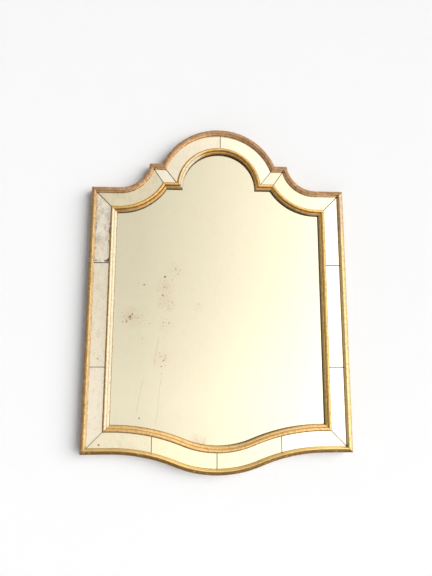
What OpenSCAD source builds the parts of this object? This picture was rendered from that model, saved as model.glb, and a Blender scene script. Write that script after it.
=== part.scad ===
// Wall mirror with a mirrored border between two gilt mouldings.
// The frame is drawn lying on its back: X to the right, Y up the frame, Z from the wall to the front.
// upright() then stands it up, with the wall behind it at +Y and the front facing -Y.
// Every line of the front runs parallel to one outline, so a line is named by its inset from that outline.

/* [Outline] */
// Width over the outer moulding
frame_w = 660; // [600:1:740]
// Height of the square shoulders above the bottom corners
shoulder_h = 666; // [560:1:800]
// Height of the steps above the shoulders
step_rise = 67; // [60:0.5:74]
// Plan distance from each side to the outer end of its step
shoulder_w = 148; // [140:1:156]
// Length of each step
step_len = 33; // [28:0.5:40]
// Depth of the arch's centre below the steps
arch_drop = 62.6; // [54:0.2:70]
// Radius of the hollow curve from shoulder to step
hollow_r = 77.5; // [74:0.5:84]
// Depth of the belly at the middle of the foot, below the bottom corners
belly = 50; // [30:1:60]
// Radius of the belly's middle curve
belly_r = 285; // [220:1:340]
// Straight stretch at each end of the foot
foot_flat = 70; // [66:1:90]

/* [Border] */
// Width of the outer moulding
outer_w = 13; // [11:0.5:15]
// Visible width of the mirror border
border_w = 37; // [30:0.5:44]
// Width of the inner moulding
inner_w = 16; // [15:0.5:18]
// How far both mouldings reach over the border panels
panel_lap = 2.5; // [1.5:0.1:3]
// Thickness of the border panels
panel_t = 3; // [2:0.1:4]
// Open joint between neighbouring border panels
panel_gap = 1.2; // [0.6:0.1:2]
// Height of the lower joint of each side border
side_joint_low = 204.5; // [120:0.5:300]
// Height of the upper joint of each side border
side_joint_high = 466; // [380:0.5:540]
// Spacing of the three joints along the foot
foot_joint_step = 158.5; // [110:0.5:190]
// Sideways shift of the foot's middle joint
foot_joint_shift = -3; // [-20:0.5:20]
// Sideways shift of the arch's joint
arch_joint_shift = 4; // [-20:0.5:20]

/* [Outer moulding] */
// Radius of the outer moulding's round
outer_round_r = 5; // [4:0.1:5.4]
// Height of the outer moulding over the carcass
outer_h = 12; // [10.6:0.1:16]
// Height of the outer moulding's outer fillet over the carcass
outer_fillet_h = 7; // [5:0.1:9]
// Height of the outer moulding's inner fillet over the panels
outer_lip_h = 2; // [1:0.1:3.5]
// Width of the outer moulding's inner fillet
outer_lip_w = 1.6; // [0.8:0.1:2.4]

/* [Inner moulding] */
// Radius of the inner moulding's main round
inner_round_r = 4; // [3.4:0.1:4.4]
// Height of the inner moulding over the carcass
inner_h = 11; // [9.4:0.1:14]
// Width of the fillet between the panels and the main round
inner_fillet_w = 1; // [0.6:0.1:1.8]
// Height of that fillet over the panels
inner_fillet_h = 2; // [1:0.1:3]
// Radius of the small round at the sight edge
sight_round_r = 2.4; // [1.6:0.1:2.8]
// Height of the small round over the carcass
sight_h = 6.4; // [5.2:0.1:8]
// Height of the groove and the sight edge over the carcass
sight_edge_h = 3.2; // [2:0.1:4]

/* [Carcass] */
// Thickness of the pine carcass
carcass_t = 18; // [18:0.5:24]
// Inset of the carcass edge under the outer moulding
carcass_inset = 1.5; // [0.5:0.1:3]
// Inset of the carcass opening
opening_inset = 60; // [58:0.5:61]
// Width of the rebate for the backboard
rebate_w = 12; // [10:0.5:14]
// Diameter of the lap dowels
dowel_d = 8; // [6:0.5:10]
// Slack of a dowel or screw in its hole
fit_gap = 0.05; // [0.02:0.01:0.1]

/* [Plate and back] */
// Thickness of the main plate
plate_t = 4; // [3:0.1:5]
// Slack round the edge of the main plate
plate_slack = 1.2; // [0.8:0.1:2]
// Thickness of the backboard
back_t = 4; // [3:0.1:5]
// Slack round the edge of the backboard
back_slack = 0.5; // [0.2:0.1:1]
// Length of a glazing block
block_l = 42; // [30:1:60]
// Width of a glazing block
block_w = 8; // [6:0.5:10]
// Air between the glazing blocks and the backboard
block_air = 2; // [1:0.1:4]
// Length of a backboard screw
back_screw_l = 12; // [10:0.5:13]
// Shank diameter of a backboard screw
back_screw_d = 3; // [2.4:0.1:3.6]
// Head diameter of a backboard screw
back_screw_head_d = 5.8; // [5:0.1:6.6]

/* [Hangers] */
// Height of the ring pivots above the bottom corners
hanger_h = 520; // [400:1:600]
// Distance from each side to the middle of its hanger
hanger_inset = 25; // [24:0.5:27]
// Thickness of the strap
strap_t = 1.5; // [1:0.1:1.6]
// Width of the strap
strap_w = 16; // [12:0.5:18]
// Length of the strap above the pivot
strap_l = 42; // [36:1:56]
// Diameter of the ring wire
ring_d = 3.4; // [3:0.1:3.6]
// Width of the ring between the centres of its legs
ring_w = 24; // [22:0.5:26]
// Length of the ring's straight legs
ring_leg = 7; // [4:0.5:12]
// Clearance of the ring wire in the strap's eye
ring_gap = 0.05; // [0.02:0.01:0.1]
// Free space round the hanger in its pocket
pocket_margin = 3; // [2:0.5:4]
// Length of a hanger screw
hanger_screw_l = 9; // [8:0.5:10]
// Shank diameter of a hanger screw
hanger_screw_d = 3.5; // [3:0.1:4]
// Head diameter of a hanger screw
hanger_screw_head_d = 6.5; // [5.6:0.1:7]

/* [Hidden] */
$fn = 96;

gilt = "#d9a458";
pine = "#c79a63";
silvered = "#e9e6d6";
ply = "#b98d5a";
steel = "#a9a9a4";

// Outline
half_w = frame_w / 2;
step_top = shoulder_h + step_rise;
step_out = half_w - shoulder_w;
step_in = step_out - step_len;
arch_y = step_top - arch_drop;
arch_r = sqrt(step_in * step_in + arch_drop * arch_drop);
hollow_y = shoulder_h + hollow_r;
hollow_x = step_out + sqrt(hollow_r * hollow_r - pow(hollow_y - step_top, 2));
foot_x = half_w - foot_flat;
foot_r = (foot_x * foot_x + belly * belly) / (2 * belly) - belly_r;
belly_y = belly_r - belly;
top_y = arch_y + arch_r;

// Insets of the lines that run round the frame
border_in = outer_w;
border_out = border_in + border_w;
sight = border_out + inner_w;
panel_in = border_in - panel_lap;
panel_out = border_out + panel_lap;
plate_edge = opening_inset + plate_slack;
rebate_inset = opening_inset - rebate_w;
back_edge = rebate_inset + back_slack;
back_screw_inset = (rebate_inset + opening_inset) / 2;

// Heights above the wall
front = carcass_t;
lap_mid = carcass_t / 2;
plate_back = front - plate_t;
block_low = back_t + block_air;

// Hanger
eye_r = ring_d / 2 + ring_gap;
knuckle_r = eye_r + strap_t;
pocket_t = 2 * knuckle_r + 0.3;
strap_z = pocket_t - strap_t;
pivot_z = pocket_t - knuckle_r;
ring_drop = ring_leg + ring_w / 2 + ring_d / 2;
knuckle_l = strap_w;

big = 2000;

module upright() {
    rotate([90, 0, 0]) children();
}

// Where the outline turns a corner, at a given inset: the step's two ends, right-hand side
function step_out_at(d) =
    [hollow_x - sqrt(pow(hollow_r + d, 2) - pow(hollow_y - step_top + d, 2)), step_top - d];
function step_in_at(d) =
    [sqrt(pow(arch_r - d, 2) - pow(step_top - d - arch_y, 2)), step_top - d];
// Where the belly's curve passes into the foot's hollow curve
function belly_end(d) = foot_x * (belly_r - d) / (belly_r + foot_r);
// Height of the foot's line at a given inset
function foot_at(x, d) =
    abs(x) >= foot_x ? d
    : abs(x) <= belly_end(d) ? belly_y - sqrt(pow(belly_r - d, 2) - x * x)
    : -foot_r + sqrt(pow(foot_r + d, 2) - pow(foot_x - abs(x), 2));
// Height of the head's line at a given inset
function head_at(x, d) =
    abs(x) >= hollow_x ? shoulder_h - d
    : abs(x) >= step_out_at(d)[0] ? hollow_y - sqrt(pow(hollow_r + d, 2) - pow(hollow_x - abs(x), 2))
    : abs(x) >= step_in_at(d)[0] ? step_top - d
    : arch_y + sqrt(pow(arch_r - d, 2) - x * x);

// A rectangle from side to side and from low to high
module box_between(sides, low, high) {
    left = min(sides);
    right = max(sides);
    polygon([[left, low], [right, low], [right, high], [left, high]]);
}

// The whole outline, at a given inset
module outline(d) {
    belly_x = belly_end(d);
    foot_low = foot_at(belly_x, d) - belly / 10;
    box_between([d - half_w, half_w - d], d, shoulder_h - d);
    intersection() {
        translate([0, belly_y]) circle(belly_r - d);
        box_between([-belly_x, belly_x], -belly, belly_y);
    }
    for (side = [-1, 1]) difference() {
        box_between([side * belly_x, side * foot_x], foot_low, belly_y);
        translate([side * foot_x, -foot_r]) circle(foot_r + d);
    }
    difference() {
        box_between([-hollow_x, hollow_x], belly_y, step_top - d);
        for (side = [-1, 1]) translate([side * hollow_x, hollow_y]) circle(hollow_r + d);
    }
    translate([0, arch_y]) circle(arch_r - d);
}

// A flat band between two insets
module band(d_out, d_in) {
    difference() {
        outline(d_out);
        outline(d_in);
    }
}

// Sectors of the frame, cut along the mitres of the lines at insets a and b.
// A point on the mitre through p at a and q at b, carried k times the way from p to q
function along(p, q, k) = p + k * (q - p);
function corner_low(d) = [half_w - d, d];
function corner_high(d) = [half_w - d, shoulder_h - d];
function far_out(p, q) = along(p, q, -3);
function far_in(p, q) = along(p, q, 4);

module side_sector(a, b) {
    polygon([
        far_out(corner_low(a), corner_low(b)), far_in(corner_low(a), corner_low(b)),
        far_in(corner_high(a), corner_high(b)), far_out(corner_high(a), corner_high(b))
    ]);
}
module foot_sector(a, b) {
    out = far_out(corner_low(a), corner_low(b));
    in = far_in(corner_low(a), corner_low(b));
    polygon([[-out[0], -big], [-out[0], out[1]], [-in[0], in[1]], in, out, [out[0], -big]]);
}
module shoulder_sector(a, b) {
    corner = far_in(corner_high(a), corner_high(b));
    polygon([
        far_out(corner_high(a), corner_high(b)), corner,
        far_in(step_out_at(a), step_out_at(b)), far_out(step_out_at(a), step_out_at(b))
    ]);
}
module step_sector(a, b) {
    polygon([
        far_out(step_out_at(a), step_out_at(b)), along(step_out_at(a), step_out_at(b), 1.5),
        along(step_in_at(a), step_in_at(b), 1.5), far_out(step_in_at(a), step_in_at(b))
    ]);
}
module arch_sector(a, b) {
    foot_out = along(step_in_at(a), step_in_at(b), -1);
    foot_in = along(step_in_at(a), step_in_at(b), 1.5);
    polygon([
        [-foot_out[0], big], [-foot_out[0], foot_out[1]], [-foot_in[0], foot_in[1]],
        foot_in, foot_out, [foot_out[0], big]
    ]);
}

// A prism over a flat shape, through the whole depth
module through() {
    translate([0, 0, -front]) linear_extrude(4 * front) children();
}

// Moulding sections, X from the outline inwards and Y from the carcass to the front
module outer_section() {
    round_x = outer_w - outer_lip_w - outer_round_r;
    round_y = outer_h - outer_round_r;
    difference() {
        union() {
            square([round_x, outer_fillet_h]);
            square([outer_w, panel_t + outer_lip_h]);
            translate([round_x - outer_round_r, 0]) square([2 * outer_round_r, round_y]);
            translate([round_x, round_y]) circle(outer_round_r);
        }
        translate([panel_in - fit_gap, -1]) square([outer_w, panel_t + 1]);
    }
}
module inner_section() {
    round_x = inner_fillet_w + inner_round_r;
    round_y = inner_h - inner_round_r;
    sight_x = inner_w - sight_round_r - 0.6;
    difference() {
        union() {
            square([inner_w, sight_edge_h]);
            square([round_x, panel_t + inner_fillet_h]);
            translate([inner_fillet_w, 0]) square([2 * inner_round_r, round_y]);
            translate([round_x, round_y]) circle(inner_round_r);
            translate([sight_x - sight_round_r, 0]) square([2 * sight_round_r, sight_h - sight_round_r]);
            translate([sight_x, sight_h - sight_round_r]) circle(sight_round_r);
        }
        translate([-1, -1]) square([panel_lap + fit_gap + 1, panel_t + 1]);
    }
}

// The sections swept along each stretch of the outline, at an inset, on top of the carcass
module straight(length) {
    rotate([90, 0, 0]) linear_extrude(length, center = true) children();
}
module ring_inside(r, d) {
    rotate_extrude($fn = 180) translate([r - d, 0]) mirror([1, 0]) children();
}
module ring_outside(r, d) {
    rotate_extrude($fn = 180) translate([r + d, 0]) children();
}
module side_run(d) {
    translate([half_w - d, shoulder_h / 2, front]) mirror([1, 0, 0]) straight(big) children();
}
module shoulder_run(d) {
    translate([half_w, shoulder_h - d, front]) rotate([0, 0, -90]) straight(big) children();
}
module step_run(d) {
    translate([step_in, step_top - d, front]) rotate([0, 0, -90]) straight(big) children();
}
module foot_run(d) {
    translate([0, d, front]) rotate([0, 0, 90]) straight(big) children();
}
module hollow_run(d) {
    translate([hollow_x, hollow_y, front]) ring_outside(hollow_r, d) children();
}
module arch_run(d) {
    translate([0, arch_y, front]) ring_inside(arch_r, d) children();
}
module belly_run(d) {
    translate([0, belly_y, front]) ring_inside(belly_r, d) children();
}
module foot_hollow_run(d) {
    translate([foot_x, -foot_r, front]) ring_outside(foot_r, d) children();
}

// One mitred length of moulding for each stretch; a and b are the insets of its two edges
module side_moulding(a, b) {
    intersection() {
        side_run(a) children();
        through() side_sector(a, b);
    }
}
module shoulder_moulding(a, b) {
    intersection() {
        union() {
            intersection() {
                shoulder_run(a) children();
                through() translate([hollow_x, 0]) square(big);
            }
            intersection() {
                hollow_run(a) children();
                through() translate([0, hollow_y - big]) square([hollow_x, big]);
            }
        }
        through() shoulder_sector(a, b);
    }
}
module step_moulding(a, b) {
    intersection() {
        step_run(a) children();
        through() step_sector(a, b);
    }
}
module arch_moulding(a, b) {
    intersection() {
        arch_run(a) children();
        through() arch_sector(a, b);
    }
}
module foot_half(a) {
    centre = [0, belly_y];
    pass = [foot_x, -foot_r] - centre;
    intersection() {
        belly_run(a) children();
        through() polygon([centre, centre + [0, -big], centre + 2 * pass]);
    }
    intersection() {
        foot_hollow_run(a) children();
        through() polygon([[foot_x, -foot_r], [foot_x, big], centre]);
    }
    intersection() {
        foot_run(a) children();
        through() translate([foot_x, -big / 2]) square(big);
    }
}
module foot_moulding(a, b) {
    intersection() {
        union() {
            foot_half(a) children();
            mirror([1, 0, 0]) foot_half(a) children();
        }
        through() foot_sector(a, b);
    }
}

module outer_side() { color(gilt) side_moulding(0, outer_w) outer_section(); }
module outer_shoulder() { color(gilt) shoulder_moulding(0, outer_w) outer_section(); }
module outer_step() { color(gilt) step_moulding(0, outer_w) outer_section(); }
module inner_side() { color(gilt) side_moulding(border_out, sight) inner_section(); }
module inner_shoulder() { color(gilt) shoulder_moulding(border_out, sight) inner_section(); }
module inner_step() { color(gilt) step_moulding(border_out, sight) inner_section(); }

module outer_left() { upright() mirror([1, 0, 0]) outer_side(); }
module outer_right() { upright() outer_side(); }
module outer_bottom() { upright() color(gilt) foot_moulding(0, outer_w) outer_section(); }
module outer_shoulder_left() { upright() mirror([1, 0, 0]) outer_shoulder(); }
module outer_shoulder_right() { upright() outer_shoulder(); }
module outer_step_left() { upright() mirror([1, 0, 0]) outer_step(); }
module outer_step_right() { upright() outer_step(); }
module outer_arch() { upright() color(gilt) arch_moulding(0, outer_w) outer_section(); }

module inner_left() { upright() mirror([1, 0, 0]) inner_side(); }
module inner_right() { upright() inner_side(); }
module inner_bottom() { upright() color(gilt) foot_moulding(border_out, sight) inner_section(); }
module inner_shoulder_left() { upright() mirror([1, 0, 0]) inner_shoulder(); }
module inner_shoulder_right() { upright() inner_shoulder(); }
module inner_step_left() { upright() mirror([1, 0, 0]) inner_step(); }
module inner_step_right() { upright() inner_step(); }
module inner_arch() { upright() color(gilt) arch_moulding(border_out, sight) inner_section(); }

// Border panels: the border band, cut along its mitres and its straight joints
module mitre_cut(p, q) {
    turn = atan2(q[1] - p[1], q[0] - p[0]);
    translate(p) rotate(turn) square([4 * border_w, panel_gap], center = true);
}
module mitre_cuts() {
    mitre_cut(corner_low(border_in), corner_low(border_out));
    mitre_cut(corner_high(border_in), corner_high(border_out));
    mitre_cut(step_out_at(border_in), step_out_at(border_out));
    mitre_cut(step_in_at(border_in), step_in_at(border_out));
}
module border_panel() {
    color(silvered) translate([0, 0, front]) linear_extrude(panel_t) difference() {
        intersection() {
            band(panel_in, panel_out);
            children();
        }
        mitre_cuts();
        mirror([1, 0]) mitre_cuts();
    }
}
module side_panel(low, high) {
    border_panel() intersection() {
        side_sector(border_in, border_out);
        translate([0, low + panel_gap / 2]) square([big, high - low - panel_gap]);
    }
}
module foot_panel(left, right) {
    upright() border_panel() intersection() {
        foot_sector(border_in, border_out);
        translate([left + panel_gap / 2, -big / 2]) square([right - left - panel_gap, big]);
    }
}
module arch_panel(left, right) {
    upright() border_panel() intersection() {
        arch_sector(border_in, border_out);
        translate([left + panel_gap / 2, 0]) square([right - left - panel_gap, big]);
    }
}
module side_panel_low() { side_panel(-big / 4, side_joint_low); }
module side_panel_mid() { side_panel(side_joint_low, side_joint_high); }
module side_panel_high() { side_panel(side_joint_high, big / 2); }
module shoulder_panel() { border_panel() shoulder_sector(border_in, border_out); }
module step_panel() { border_panel() step_sector(border_in, border_out); }

module panel_left_low() { upright() mirror([1, 0, 0]) side_panel_low(); }
module panel_left_mid() { upright() mirror([1, 0, 0]) side_panel_mid(); }
module panel_left_high() { upright() mirror([1, 0, 0]) side_panel_high(); }
module panel_right_low() { upright() side_panel_low(); }
module panel_right_mid() { upright() side_panel_mid(); }
module panel_right_high() { upright() side_panel_high(); }
module panel_bottom_1() { foot_panel(-half_w, foot_joint_shift - foot_joint_step); }
module panel_bottom_2() { foot_panel(foot_joint_shift - foot_joint_step, foot_joint_shift); }
module panel_bottom_3() { foot_panel(foot_joint_shift, foot_joint_shift + foot_joint_step); }
module panel_bottom_4() { foot_panel(foot_joint_shift + foot_joint_step, half_w); }
module panel_shoulder_left() { upright() mirror([1, 0, 0]) shoulder_panel(); }
module panel_shoulder_right() { upright() shoulder_panel(); }
module panel_step_left() { upright() mirror([1, 0, 0]) step_panel(); }
module panel_step_right() { upright() step_panel(); }
module panel_arch_left() { arch_panel(-half_w, arch_joint_shift); }
module panel_arch_right() { arch_panel(arch_joint_shift, half_w); }

// Carcass: boards that overlap in half laps, each lap split at half the thickness
module carcass_solid() {
    difference() {
        linear_extrude(front) band(carcass_inset, opening_inset);
        translate([0, 0, -1]) linear_extrude(back_t + 1) outline(rebate_inset);
        lap_dowel_bores();
        back_screw_bores();
        hanger_cuts();
        mirror([1, 0, 0]) hanger_cuts();
    }
}
// A board: the area where it is full, then its whole area, which is thinned to the heights low to high
module board(low, high) {
    color(pine) upright() intersection() {
        carcass_solid();
        union() {
            translate([0, 0, -1]) linear_extrude(front + 2) children(0);
            translate([0, 0, low]) linear_extrude(high - low) children(1);
        }
    }
}
lap_in = half_w - opening_inset;
head_low = shoulder_h - opening_inset;

module stile() {
    board(lap_mid, front) {
        box_between([lap_in, half_w], opening_inset, head_low);
        box_between([lap_in, half_w], 0, shoulder_h);
    }
}
module head_rail() {
    board(0, lap_mid) {
        box_between([step_out, lap_in], head_low, top_y);
        box_between([step_in, half_w], head_low, top_y);
    }
}
module right_stile() { stile(); }
module left_stile() { mirror([1, 0, 0]) stile(); }
module right_head_rail() { head_rail(); }
module left_head_rail() { mirror([1, 0, 0]) head_rail(); }
module bottom_rail() {
    board(0, lap_mid) {
        box_between([-lap_in, lap_in], -belly, opening_inset);
        box_between([-half_w, half_w], -belly, opening_inset);
    }
}
module crest_rail() {
    board(lap_mid, front) {
        box_between([-step_in, step_in], head_low, top_y);
        box_between([-step_out, step_out], head_low, top_y);
    }
}

// Dowels through the laps: two at each corner, two at each step
corner_dowel_in = opening_inset * 0.26;
corner_dowel_out = opening_inset * 0.62;
function dowel_spots() = [
    [half_w - corner_dowel_in, corner_dowel_out],
    [half_w - corner_dowel_out, corner_dowel_in],
    [half_w - corner_dowel_in, shoulder_h - corner_dowel_out],
    [half_w - corner_dowel_out, shoulder_h - corner_dowel_in],
    [step_in + step_len / 2, step_top - opening_inset * 0.3],
    [step_in + step_len / 2, step_top - opening_inset * 0.62]
];
module at_dowels() {
    for (side = [-1, 1], p = dowel_spots()) translate([side * p[0], p[1], 0]) children();
}
module lap_dowel_bores() {
    translate([0, 0, -1]) at_dowels() cylinder(h = front + 2, d = dowel_d + 2 * fit_gap);
}
module lap_dowels() {
    color(pine) upright() at_dowels() cylinder(h = front, d = dowel_d);
}

// Main plate, seated on the backs of the inner mouldings
module mirror_plate() {
    color(silvered) upright() translate([0, 0, plate_back]) linear_extrude(plate_t) outline(plate_edge);
}

// Glazing blocks: short lengths of the ring inside the opening, behind the plate
block_high_x = (step_out + hollow_x) / 2;
module block_windows() {
    for (side = [-1, 1]) {
        for (y = [side_joint_low / 2, (side_joint_low + side_joint_high) / 2, side_joint_high])
            translate([side * half_w, y]) square([4 * opening_inset, block_l], center = true);
        translate([side * (lap_in - block_l), shoulder_h]) square([block_l, 4 * opening_inset], center = true);
        translate([side * foot_joint_step, 0]) square([block_l, 4 * opening_inset], center = true);
        translate([0, arch_y]) rotate(90 - side * 45) translate([arch_r, 0])
            square([4 * opening_inset, block_l], center = true);
    }
    translate([0, -belly]) square([block_l, 4 * opening_inset], center = true);
}
module glazing_blocks() {
    color(pine) upright() translate([0, 0, block_low]) linear_extrude(plate_back - block_low) intersection() {
        band(opening_inset, opening_inset + block_w);
        block_windows();
    }
}

// Backboard, let in flush, and its screws, one row along the middle of the rebate
function side_screws() = [for (i = [0:3]) [half_w - back_screw_inset, back_screw_inset * 1.6
    + i * (shoulder_h - 3.2 * back_screw_inset) / 3]];
function foot_screws() = [for (x = [foot_joint_step, foot_joint_step / 3])
    [x, foot_at(x, back_screw_inset)]];
function head_screws() = [
    [hollow_x - hollow_r / 3, head_at(hollow_x - hollow_r / 3, back_screw_inset)],
    [(arch_r - back_screw_inset) * sin(62), arch_y + (arch_r - back_screw_inset) * cos(62)],
    [(arch_r - back_screw_inset) * sin(21), arch_y + (arch_r - back_screw_inset) * cos(21)]
];
module at_back_screws() {
    for (side = [-1, 1], p = concat(side_screws(), foot_screws(), head_screws()))
        translate([side * p[0], p[1], 0]) children();
}
// A countersunk screw, its head flush at Z = 0, grown by a slack for its hole
module countersunk(length, shank_d, head_d, slack) {
    cylinder(h = length + slack, d = shank_d + 2 * slack);
    cylinder(h = (head_d - shank_d) / 2, d1 = head_d + 2 * slack, d2 = shank_d + 2 * slack);
}
module back_screw_bores() {
    at_back_screws() countersunk(back_screw_l, back_screw_d, back_screw_head_d, fit_gap);
}
module backboard() {
    color(ply) upright() difference() {
        linear_extrude(back_t) outline(back_edge);
        back_screw_bores();
    }
}
module backboard_screws() {
    color(steel) upright() at_back_screws() countersunk(back_screw_l, back_screw_d, back_screw_head_d, 0);
}

// Hangers, each in a pocket in the back of its stile, drawn with the pivot at the origin, ring down.
// The strap lies on the pocket's floor and folds round the ring's bar.
screw_reach = [strap_l * 0.42, strap_l * 0.8];
module at_hanger() {
    translate([half_w - hanger_inset, hanger_h, 0]) children();
}
module hanger_cuts() {
    pocket_w = ring_w + ring_d + 2 * pocket_margin;
    low = -ring_drop - pocket_margin;
    high = strap_l + pocket_margin;
    at_hanger() {
        translate([-pocket_w / 2, low + pocket_w / 2, -1]) cube([pocket_w, high - low - pocket_w / 2, pocket_t + 1]);
        translate([0, low + pocket_w / 2, -1]) cylinder(h = pocket_t + 1, d = pocket_w);
        for (y = screw_reach) translate([0, y, strap_z])
            countersunk(hanger_screw_l, hanger_screw_d, hanger_screw_head_d, fit_gap);
    }
}
module strap() {
    color(steel) at_hanger() difference() {
        union() {
            translate([-strap_w / 2, 0, strap_z]) cube([strap_w, strap_l - strap_w / 2, strap_t]);
            translate([0, strap_l - strap_w / 2, strap_z]) cylinder(h = strap_t, d = strap_w);
            translate([0, 0, pivot_z]) rotate([0, 90, 0]) cylinder(h = knuckle_l, r = knuckle_r, center = true);
        }
        translate([0, 0, pivot_z]) rotate([0, 90, 0]) cylinder(h = 2 * knuckle_l, r = eye_r, center = true);
        for (y = screw_reach) translate([0, y, strap_z])
            countersunk(hanger_screw_l, hanger_screw_d, hanger_screw_head_d, fit_gap);
    }
}
module ring() {
    r = ring_d / 2;
    color(steel) at_hanger() translate([0, 0, pivot_z]) {
        rotate([0, 90, 0]) cylinder(h = ring_w, r = r, center = true);
        for (side = [-1, 1]) {
            translate([side * ring_w / 2, 0, 0]) sphere(r);
            translate([side * ring_w / 2, 0, 0]) rotate([90, 0, 0]) cylinder(h = ring_leg, r = r);
        }
        translate([0, -ring_leg, 0]) intersection() {
            rotate_extrude() translate([ring_w / 2, 0]) circle(r);
            translate([-ring_w, -2 * ring_w, -ring_w / 2]) cube([2 * ring_w, 2 * ring_w, ring_w]);
        }
    }
}
module hanger_strap_left() { upright() mirror([1, 0, 0]) strap(); }
module hanger_strap_right() { upright() strap(); }
module hanger_ring_left() { upright() mirror([1, 0, 0]) ring(); }
module hanger_ring_right() { upright() ring(); }
module hanger_screws() {
    color(steel) upright() for (side = [0, 1]) mirror([side, 0, 0]) at_hanger()
        for (y = screw_reach) translate([0, y, strap_z])
            countersunk(hanger_screw_l, hanger_screw_d, hanger_screw_head_d, 0);
}

left_stile();
right_stile();
bottom_rail();
left_head_rail();
right_head_rail();
crest_rail();
lap_dowels();
outer_left();
outer_right();
outer_bottom();
outer_shoulder_left();
outer_shoulder_right();
outer_step_left();
outer_step_right();
outer_arch();
panel_left_low();
panel_left_mid();
panel_left_high();
panel_right_low();
panel_right_mid();
panel_right_high();
panel_bottom_1();
panel_bottom_2();
panel_bottom_3();
panel_bottom_4();
panel_shoulder_left();
panel_shoulder_right();
panel_step_left();
panel_step_right();
panel_arch_left();
panel_arch_right();
inner_left();
inner_right();
inner_bottom();
inner_shoulder_left();
inner_shoulder_right();
inner_step_left();
inner_step_right();
inner_arch();
mirror_plate();
glazing_blocks();
backboard();
backboard_screws();
hanger_strap_left();
hanger_strap_right();
hanger_ring_left();
hanger_ring_right();
hanger_screws();
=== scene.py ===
# Looks of a wall mirror with a mirrored border between two gilt mouldings, in metres.
# The glass faces -Y, the wall is behind at +Y, and Z goes up. Every line of the front runs parallel to
# one outline, so a line is named by its inset from that outline.
import math

import bmesh
import bpy
from mathutils import Euler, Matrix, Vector


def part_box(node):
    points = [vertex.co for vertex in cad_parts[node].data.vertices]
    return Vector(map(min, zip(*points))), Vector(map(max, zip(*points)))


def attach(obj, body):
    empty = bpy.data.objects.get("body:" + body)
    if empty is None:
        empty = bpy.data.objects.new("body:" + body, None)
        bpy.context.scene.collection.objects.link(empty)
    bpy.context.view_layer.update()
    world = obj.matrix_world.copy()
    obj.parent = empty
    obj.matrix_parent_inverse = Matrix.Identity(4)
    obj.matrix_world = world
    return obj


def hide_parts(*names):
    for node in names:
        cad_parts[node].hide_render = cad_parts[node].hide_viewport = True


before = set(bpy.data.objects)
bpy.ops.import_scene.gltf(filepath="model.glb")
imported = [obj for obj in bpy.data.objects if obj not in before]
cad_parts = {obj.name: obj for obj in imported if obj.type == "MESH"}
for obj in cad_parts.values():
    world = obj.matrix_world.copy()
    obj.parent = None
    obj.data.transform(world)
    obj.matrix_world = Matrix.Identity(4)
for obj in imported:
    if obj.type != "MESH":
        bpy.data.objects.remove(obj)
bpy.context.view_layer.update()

MM = 0.001

# Outline: half width, shoulder and step heights, and the arcs that join them
HALF_W = 330 * MM
SHOULDER_Z = 666 * MM
STEP_Z = 733 * MM
STEP_OUT_X = 182 * MM
STEP_IN_X = 149 * MM
ARCH_Z = 670.4 * MM
ARCH_R = math.hypot(STEP_IN_X, STEP_Z - ARCH_Z)
HOLLOW_R = 77.5 * MM
HOLLOW_Z = SHOULDER_Z + HOLLOW_R
HOLLOW_X = STEP_OUT_X + math.sqrt(HOLLOW_R**2 - (HOLLOW_Z - STEP_Z) ** 2)
BELLY = 50 * MM
BELLY_R = 285 * MM
BELLY_Z = BELLY_R - BELLY
FOOT_X = 260 * MM
FOOT_R = (FOOT_X**2 + BELLY**2) / (2 * BELLY) - BELLY_R

# About how far each arc turns, in radians, for its number of points
HOLLOW_TURN = 1.4
ARCH_TURN = 2.4
FOOT_TURN = 0.4
LINE_STEP = 3 * MM

# Insets and depths of the layers
OUTER_W = 13 * MM
INNER_AT = 50 * MM
INNER_W = 16 * MM
PANEL_LAP = 2.5 * MM
PANEL_T = 3 * MM
CARCASS_T = 18 * MM
PLATE_T = 4 * MM
GLASS_INDEX = 1.5
FAR = 2.0  # metres, past every piece

# Camera: the photograph's perspective
CAMERA_AT = (-59.4 * MM, -1075.0 * MM, 250.6 * MM)
CAMERA_TURN = (98.24, -0.16, -2.884)
CAMERA_LENS = 26.1


def set_camera():
    data = bpy.data.cameras.new("camera")
    data.lens = CAMERA_LENS
    camera = bpy.data.objects.new("camera", data)
    camera.location = CAMERA_AT
    camera.rotation_euler = Euler([math.radians(a) for a in CAMERA_TURN])
    bpy.context.scene.collection.objects.link(camera)
    bpy.context.scene.camera = camera


# Node trees
def operator(operation, turned=False):
    """A method that adds a Math node with two values, turned round or not."""

    def method(self, other):
        return self.math(operation, *((other, self) if turned else (self, other)))

    return method


class Wire:
    """An output socket of a node tree. Sums with wires and numbers add Math nodes."""

    __add__ = __radd__ = operator("ADD")
    __sub__ = operator("SUBTRACT")
    __rsub__ = operator("SUBTRACT", turned=True)
    __mul__ = __rmul__ = operator("MULTIPLY")
    __truediv__ = operator("DIVIDE")
    __pow__ = operator("POWER")
    least = operator("MINIMUM")
    most = operator("MAXIMUM")

    def __init__(self, tree, socket):
        self.tree = tree
        self.socket = socket

    def math(self, operation, *values, **settings):
        sockets = dict(enumerate(values))
        return add_node(self.tree, "Math", {"operation": operation, **settings}, sockets)

    def __abs__(self):
        return self.math("ABSOLUTE", self)

    def fraction(self):
        return self.math("FRACT", self)

    def held(self):
        """Kept between 0 and 1."""
        return self.math("ADD", self, 0.0, use_clamp=True)

    def ease(self, low, high):
        """0 below low and 1 above high, with a smooth step between. A low above the high turns it round."""
        sockets = {"Value": self, "From Min": low, "From Max": high}
        return add_node(self.tree, "MapRange", {"interpolation_type": "SMOOTHSTEP"}, sockets)

    def part(self, axis):
        return add_node(self.tree, "SeparateXYZ", {}, {0: self}, output=axis)

    def vector(self, operation, *values, output=0):
        sockets = dict(enumerate((self, *values)))
        return add_node(self.tree, "VectorMath", {"operation": operation}, sockets, output)


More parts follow.
